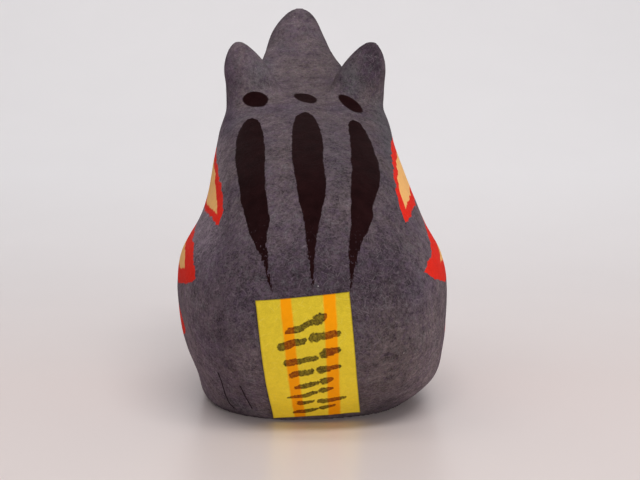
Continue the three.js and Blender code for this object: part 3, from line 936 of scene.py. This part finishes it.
def painted_paper(colours, shift):
    """Pulpy paper under a dark brushed wash, with painted light and shade, stripes, dabs and
    flames.
    """
    paint = Paint("painted_paper")
    place, side, depth, height = paint.place(shift)
    ink = tuple(colours.stripe)

    broad = paint.noise(place, 9, 3, 0.55)
    cool = paint.noise(place, 6, 3, 0.55, 31)
    cloud = paint.noise(place, 2.4, 3, 0.6, 12)
    mottle = paint.noise(place, 0.62, 3, 0.65, 5)
    grain = paint.noise(place, 0.26, 2, 0.6, 9)
    wash = paint.mix(paint.between(broad, 0.4, 0.66) * 0.55, colours.wash, colours.violet)
    wash = paint.mix(paint.between(cool, 0.48, 0.7) * 0.5, wash, colours.brown)
    wash = paint.mix(paint.between(cool, 0.46, 0.28) * 0.4, wash, colours.slate)
    for middle, reach, name, strength in STAINS:
        spot = paint.spot(side, height, middle, reach) * strength
        wash = paint.mix(spot * paint.between(depth, 74, 66), wash, getattr(colours, name))
    flecks = paint.noise(place, 0.9, 2, 0.6, 75)
    wash = paint.mix(paint.between(flecks, 0.52, 0.64) * 0.5, wash, colours.violet)
    wash = paint.mix(paint.between(flecks, 0.46, 0.34) * 0.36, wash, colours.slate)
    rough = 1.75 - 0.5 * paint.between(height, 42, 54)
    tone = 1 + 1.3 * (cloud - 0.5) + rough * ((mottle - 0.5) + (grain - 0.5))
    # Painted light and shade on the wash: paler flanks for sheen, a paler foot, a darker rump
    # and a darker right side
    follows = {"flank": abs(side), "height": height, "side": side}
    for start, change, name, low, high in WASH_PAINTED_LIGHT:
        tone = tone * (start + change * paint.between(follows[name], low, high))
    wash = paint.scaled(wash, tone)

    fibre = union(paint.fibres(place, *kind) for kind in FIBRES)
    patchy = paint.between(paint.noise(place, 3.2, 2, 0.5, 60), 0.34, 0.66)
    showing = fibre * (0.3 + 0.7 * patchy)
    wash = paint.mix(showing * 0.28, wash, colours.fibre)
    dark = paint.fibres(place, 1.2, 0.07, 0.2, 120) * (1 - patchy)
    wash = paint.mix(dark * 0.4, wash, ink)
    speck = paint.node("ShaderNodeTexVoronoi", {"feature": "F1"},
                       {"Vector": place, "Scale": 0.36, "Randomness": 1.0})
    wash = paint.mix(paint.between(speck, 0.036, 0.02) * 0.8, wash, linear(*SPECK))

    # Bristles draw the edges out along a stroke, more so where the brush runs dry
    streak = paint.noise(paint.combine(side * 3.4, depth * 0.8, height * 0.8), 1, 3, 0.6, 3)
    ragged = paint.noise(place, 0.45, 3, 0.6, 17)
    dry = paint.between(height, 34.5, 26)
    wander = (paint.noise(place, 3, 2, 0.5, 23) - 0.5) * 0.5
    brushed = (side + wander + (streak - 0.5) * (0.25 + 1.1 * dry)
               + (ragged - 0.5) * (0.2 + 0.5 * dry))
    stripes = union([paint.stroke(brushed, height, table) for table in STRIPES.values()]
                    + [paint.oval(side + wander, height + wander, *dab) for dab in DABS])
    stripes = paint.edge(stripes, 0.14) * paint.between(depth, MARK_REACH + 1, MARK_REACH)
    skips = paint.between(ragged, 0.62, 0.68) * dry
    stripes = stripes * (1 - skips)

    swayed = height + (paint.noise(place, 2.6, 2, 0.5, 44) - 0.5) * 1.1
    bristle = paint.noise(paint.combine(side, depth * 0.9, height * 3.2), 1, 3, 0.6, 71)
    frayed = swayed + (bristle - 0.5) * 0.7
    red, heart = [], []
    for sign, tongues in FLAMES.items():
        flank = paint.between(side * sign, 5.5, 6)
        for stroke, core in tongues:
            red.append(paint.edge(paint.stroke(frayed, depth, stroke), 0.16) * flank)
            heart.append(paint.edge(paint.stroke(swayed, depth, core), 0.2) * flank)
    red, heart = union(red), union(heart)
    thin = paint.noise(place, 0.9, 3, 0.6, 51)

    black = paint.mix(paint.between(cloud, 0.3, 0.7), ink, tuple(0.6 * value for value in ink))
    colour = paint.mix(stripes, wash, black)
    vermilion = paint.mix(paint.between(thin, 0.35, 0.75) * 0.35, colours.red,
                          tuple(0.62 * value for value in colours.red))
    colour = paint.mix(red, colour, vermilion)
    straw = paint.scaled(tuple(colours.ochre), 0.86 + 0.28 * thin)
    colour = paint.mix(heart * 0.96, colour, straw)
    colour = paint_face(paint, colour, side, depth, height, ink)

    painted = (stripes | red) | heart
    relief = 0.55 * mottle + 0.25 * grain + 0.3 * cloud + 0.16 * showing + 0.1 * painted
    roughness = 0.78 + 0.14 * (mottle - 0.5) - 0.16 * stripes - 0.1 * (red | heart)
    # Painted shade: a dark line along the fold of each wrinkle
    for line in WRINKLES:
        corners = [(x, z) for x, _, z in line]
        for start, end in zip(corners[:-1], corners[1:]):
            wrinkle_shade = paint.edge(paint.capsule(side + wander * 0.3, height, start, end, 0.1), 0.1)
            colour = paint.mix(wrinkle_shade * paint.between(depth, 24, 22), colour, linear(*WRINKLE_SHADE))
    return paint.finish(colour, roughness, relief, depth=0.11, specular=0.02)


def paint_face(paint, colour, side, depth, height, ink):
    """Plain brush marks on the front: an eye on each cheek, two nostrils and a mouth."""
    apart = abs(side)
    white = paint.edge(paint.capsule(depth, height, *EYE_WHITE), 0.2)
    pupil = paint.edge(paint.capsule(depth, height, *PUPIL), 0.2)
    cheek = paint.between(apart, 4, 4.5)
    colour = paint.mix(white * cheek, colour, linear(*EYE_COLOUR))
    colour = paint.mix(pupil * cheek, colour, ink)
    nostril = paint.edge(paint.capsule(apart, height, *NOSTRIL), 0.15)
    colour = paint.mix(nostril * paint.between(depth, 83, 84), colour, ink)
    mouth = paint.edge(paint.capsule(depth, height, *MOUTH), 0.15)
    lips = tuple(0.7 * value for value in linear(*MOUTH_COLOUR))
    return paint.mix(mouth * paint.between(apart, 0.5, 1), colour, lips)


def slip_paper(colours, slip):
    """Thin yellow paper with two orange bands, and rows of plain dry-brushed dashes."""
    paint = Paint("yellow_paper")
    flat = paint.node("ShaderNodeUVMap", {"uv_map": "slip"})
    split = paint.node("ShaderNodeSeparateXYZ", None, {0: flat})
    u, v = split, split.output("Y")
    across, down = u * slip.width, (1 - v) * slip.length
    place = paint.combine(across, down, 0.0)

    pulp = paint.noise(place, 0.8, 3, 0.6, 3)
    grain = paint.noise(place, 0.22, 2, 0.6, 8)
    # Painted light: paler towards the foot, where the paper turns to face down. A little darker
    # towards the boar's right, and varied by pulp and grain.
    tone = 0.47 + 0.54 * (1 - v) - 0.08 * u + 0.26 * pulp + 0.26 * grain
    yellow = paint.scaled(tuple(colours.yellow), tone)
    fibre = paint.fibres(place, 1.2, 0.06, 0.2, 0)
    yellow = paint.mix(fibre * 0.14, yellow, linear(*SLIP_FIBRE))
    waver = (paint.noise(place, 1.6, 2, 0.5, 20) - 0.5) * 0.02
    bands = []
    for top, foot in BANDS:
        left, right = (top[i] + (1 - v) * (foot[i] - top[i]) for i in (0, 1))
        bands.append(paint.edge(((u + waver) - left) & (right - (u + waver)), 0.02))
    bands = union(bands)
    # Painted light: the bands are paler towards the foot too
    orange = paint.scaled(tuple(colours.orange), 0.76 + 0.24 * (1 - v) + 0.14 * pulp)
    colour = paint.mix(bands, yellow, orange)
    # Painted shadow: a dark line along the top edge and the edge on the boar's right, where the
    # paper stands off the body
    border = 1 - paint.between(down & (slip.width - across), 0.04, 0.2)
    colour = paint.mix(border * 0.6, colour, linear(*SLIP_EDGE))

    # Rows of two dashes each, whose ends, height and slope differ from row to row
    from_top = down - INK_TOP
    row = paint.node("ShaderNodeMath", {"operation": "FLOOR"}, {0: from_top / INK_PITCH})
    chance = paint.node("ShaderNodeTexWhiteNoise", {"noise_dimensions": "1D"},
                        {"W": row + 11.5}, "Color")
    dice = paint.node("ShaderNodeSeparateColor", None, {0: chance})
    first, second, third = dice, dice.output("Green"), dice.output("Blue")
    level = from_top - (row + 0.5) * INK_PITCH
    middle = (INK_LEFT + INK_RIGHT) / 2
    sway = (paint.noise(place, 2.2, 2, 0.5, 33) - 0.5) * 1.2
    slope = -0.12 - first * 0.22
    dashes = []
    for begin, end, lift in (
        (INK_LEFT + 2.2 * second, middle - 1.1 + 1.6 * third, (third - 0.5) * 0.5),
        (middle + 0.4 + 1.6 * third, INK_RIGHT - 2.2 * first, (second - 0.5) * 0.5),
    ):
        share = (across - begin) / (end - begin)
        reach = ((begin - across) | (across - end)) | 0.0
        fall = level - lift - sway - (across - middle) * slope
        dashes.append(0.76 - 0.3 * share - (reach * reach + fall * fall) ** 0.5)
    ragged = paint.noise(place, 0.5, 3, 0.65, 41)
    marks = union(dashes) + (ragged - 0.5) * 0.8
    within = paint.edge((row + 0.5) & (INK_ROWS - 0.5 - row), 0.1)
    wet = paint.edge(marks, 0.18) * within
    rim = wet * (1 - paint.between(marks, 0.02, 0.24))
    dry = paint.between(paint.noise(place, 0.34, 3, 0.7, 57), 0.3, 0.62)
    strength = wet * (0.64 + 0.32 * dry) + rim * 0.16
    ink = paint.mix(bands, colours.ink, linear(*BAND_INK))
    colour = paint.mix(strength & 1.0, colour, ink)
    relief = 0.6 * pulp + 0.3 * grain + 0.25 * fibre
    roughness = 0.62 + 0.16 * (pulp - 0.5) - 0.06 * wet
    return paint.finish(colour, roughness, relief, depth=0.03, specular=0.06)


def stage_paper(settings):
    """Plain pale paper, a little smooth, that turns cooler up the backdrop."""
    paint = Paint("stage_paper")
    place = paint.scaled(paint.node("ShaderNodeTexCoord").output("Object"), 1 / MM)
    split = paint.node("ShaderNodeSeparateXYZ", None, {0: place})
    back = paint.between(split.output("Y"), 0, -260)
    tone = paint.noise(place, 30, 2, 0.5)
    grain = paint.noise(place, 0.6, 2, 0.5, 4)
    colour = paint.mix(back, settings.floor, settings.wall)
    colour = paint.scaled(colour, 0.985 + 0.03 * tone)
    roughness = 0.32 + 0.05 * grain
    return paint.finish(colour, roughness, 0.5 * grain, depth=0.004, specular=0.45)


# Operators

class BOAR_OT_figure(bpy.types.Operator):
    """Make the moulded and painted boar"""

    bl_idname = "boar.figure"
    bl_label = "Make the boar"

    def execute(self, context):
        scene = context.scene
        sizes = in_millimetres(scene.boar_sizes)
        shift = frame_shift(sizes)
        points, quads = boar_form(sizes, scene.boar_stage.seed)
        mesh = make_mesh("boar_figure", (points + shift) * MM, quads)
        mesh.materials.append(painted_paper(scene.boar_colours, shift))
        figure = add_object("boar_figure", mesh)
        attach(figure, "root")
        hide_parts("boar_body")
        return {"FINISHED"}


class BOAR_OT_slip(bpy.types.Operator):
    """Paste the paper slip on the boar's rump"""

    bl_idname = "boar.slip"
    bl_label = "Paste the slip"

    def execute(self, context):
        scene = context.scene
        sizes = in_millimetres(scene.boar_sizes)
        slip = in_millimetres(scene.boar_slip)
        inner, outer, u, v = slip_points(sizes, slip, scene.boar_stage.seed)
        points, quads = sheet_between(inner, outer)
        mesh = make_mesh("rump_slip", (points + frame_shift(sizes)) * MM, quads)
        layer = mesh.uv_layers.new(name="slip")
        flat = np.tile(np.stack([1 - u, v], -1).reshape(-1, 2), (2, 1))
        corners = np.empty(len(mesh.loops), np.int32)
        mesh.loops.foreach_get("vertex_index", corners)
        layer.uv.foreach_set("vector", flat[corners].astype(np.float32).ravel())
        mesh.materials.append(slip_paper(scene.boar_colours, slip))
        piece = add_object("rump_slip", mesh)
        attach(piece, "root")
        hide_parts("paper_slip")
        return {"FINISHED"}


class BOAR_OT_stage(bpy.types.Operator):
    """Lay the floor and backdrop, and set the light and the camera"""

    bl_idname = "boar.stage"
    bl_label = "Set the stage"

    def execute(self, context):
        scene = context.scene
        settings = scene.boar_stage
        shift = frame_shift(in_millimetres(scene.boar_sizes))
        self.add_sweep(settings)
        for name, (place, size, target, share) in LAMPS.items():
            self.add_lamp(name, place, size, target, settings.lamp_power * share)
        world = bpy.data.worlds.new("studio")
        world.use_nodes = True
        sky = world.node_tree.nodes["Background"]
        sky.inputs["Color"].default_value = SKY_TINT
        sky.inputs["Strength"].default_value = settings.sky
        scene.world = world
        self.add_camera(settings, shift)
        scene.view_settings.view_transform = "Standard"
        return {"FINISHED"}

    def add_sweep(self, settings):
        """The floor and backdrop: a flat run, a quarter circle and an upright run, as a
        profile carried sideways."""
        front, back, radius, top, half = 900, -120, 420, 900, 1100
        turn = np.linspace(0, np.pi / 2, 33)
        y = np.concatenate([[front, 0], back - radius * np.sin(turn), [back - radius]])
        z = np.concatenate([[0, 0], radius * (1 - np.cos(turn)), [top]])
        x = np.array([-half, half])
        points = np.stack([np.broadcast_to(x, (len(y), 2)), np.repeat(y[:, None], 2, 1),
                           np.repeat(z[:, None], 2, 1)], -1).reshape(-1, 3)
        i = 2 * np.arange(len(y) - 1)
        quads = np.stack([i, i + 1, i + 3, i + 2], -1)[:, ::-1]
        mesh = make_mesh("floor_sweep", points * MM, quads)
        mesh.materials.append(stage_paper(settings))
        add_object("floor_sweep", mesh)

    def add_lamp(self, name, place, size, target, power):
        """A soft lamp at a place in millimetres, turned to its target."""
        lamp = bpy.data.lights.new(name, "AREA")
        lamp.energy = power
        lamp.shape = "RECTANGLE"
        lamp.size, lamp.size_y = size[0] * MM, size[1] * MM
        holder = add_object(name, lamp)
        holder.visible_glossy = False
        at = Vector(place) * MM
        holder.location = at
        holder.rotation_euler = (Vector(target) * MM - at).to_track_quat("-Z", "Y").to_euler()

    def add_camera(self, settings, shift):
        """The camera behind the rump, level with the nape."""
        camera = bpy.data.cameras.new("camera")
        camera.lens = settings.lens
        camera.sensor_fit = "HORIZONTAL"
        camera.sensor_width = 36
        camera.clip_start = 0.01
        holder = add_object("camera", camera)
        holder.location = Vector(float(v) for v in shift + CAMERA_PLACE) * MM
        yaw, pitch = math.radians(CAMERA_YAW), math.radians(CAMERA_PITCH)
        look = Vector((-math.sin(yaw) * math.cos(pitch), -math.cos(yaw) * math.cos(pitch),
                       -math.sin(pitch)))
        holder.rotation_euler = look.to_track_quat("-Z", "Y").to_euler()
        bpy.context.scene.camera = holder


class BOAR_PT_panel(bpy.types.Panel):
    """Lists the boar's sizes, colours and steps"""

    bl_idname = "BOAR_PT_panel"
    bl_label = "Papier-mache boar"
    bl_space_type = "VIEW_3D"
    bl_region_type = "UI"
    bl_category = "Boar"

    def draw(self, context):
        for name in ("boar_sizes", "boar_slip", "boar_colours", "boar_stage"):
            group = getattr(context.scene, name)
            box = self.layout.box()
            for field in type(group).__annotations__:
                box.prop(group, field)
        for each in OPERATORS:
            self.layout.operator(each.bl_idname)


GROUPS = {"boar_sizes": BoarSizes, "boar_slip": SlipSizes, "boar_colours": BoarColours,
          "boar_stage": StageSettings}
OPERATORS = (BOAR_OT_figure, BOAR_OT_slip, BOAR_OT_stage)


def register():
    for each in (*GROUPS.values(), *OPERATORS, BOAR_PT_panel):
        bpy.utils.register_class(each)
    for name, group in GROUPS.items():
        setattr(bpy.types.Scene, name, PointerProperty(type=group))


def unregister():
    for name in GROUPS:
        delattr(bpy.types.Scene, name)
    for each in reversed((*GROUPS.values(), *OPERATORS, BOAR_PT_panel)):
        bpy.utils.unregister_class(each)


def main():
    register()
    bpy.ops.boar.figure()
    bpy.ops.boar.slip()
    bpy.ops.boar.stage()


if __name__ == "__main__":
    main()
